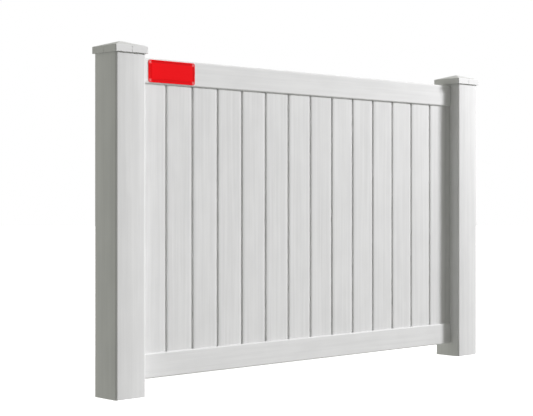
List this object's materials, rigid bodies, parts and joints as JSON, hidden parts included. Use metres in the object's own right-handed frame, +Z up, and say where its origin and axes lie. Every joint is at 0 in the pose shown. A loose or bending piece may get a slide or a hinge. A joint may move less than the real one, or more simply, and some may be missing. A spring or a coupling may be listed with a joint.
{
  "type": "fence panel",
  "caption": "White vinyl privacy fence panel: capped square posts, pocket rails, interlocking upright boards and a blank red plate. Stands on its posts or slips over stakes.",
  "frame": {"origin": "on the ground, midway between the two posts, at the middle of their depth", "axes": "+X along the fence to the right as seen from the front, -Y towards the front, +Z up"},
  "size_m": [1.968, 0.139, 1.226],
  "materials": {
    "vinyl": "satin with fine wood grain",
    "cap_vinyl": "satin moulded",
    "galvanised_steel": "galvanised",
    "screw_steel": "zinc plated",
    "plate_enamel": "gloss enamel"
  },
  "bodies": {
    "root": {"post_left": "vinyl", "post_right": "vinyl", "top_rail": "vinyl", "bottom_rail": "vinyl", "channel_left": "vinyl", "channel_right": "vinyl", "board_01": "vinyl", "board_02": "vinyl", "board_03": "vinyl", "board_04": "vinyl", "board_05": "vinyl", "board_06": "vinyl", "board_07": "vinyl", "board_08": "vinyl", "board_09": "vinyl", "board_10": "vinyl", "board_11": "vinyl", "board_12": "vinyl", "board_13": "vinyl", "board_14": "vinyl", "post_cap_left": "cap_vinyl", "post_cap_right": "cap_vinyl", "bottom_rail_stiffener": "galvanised_steel", "channel_screws_left": "screw_steel", "channel_screws_right": "screw_steel", "name_plate": "plate_enamel"}
  },
  "joints": []
}
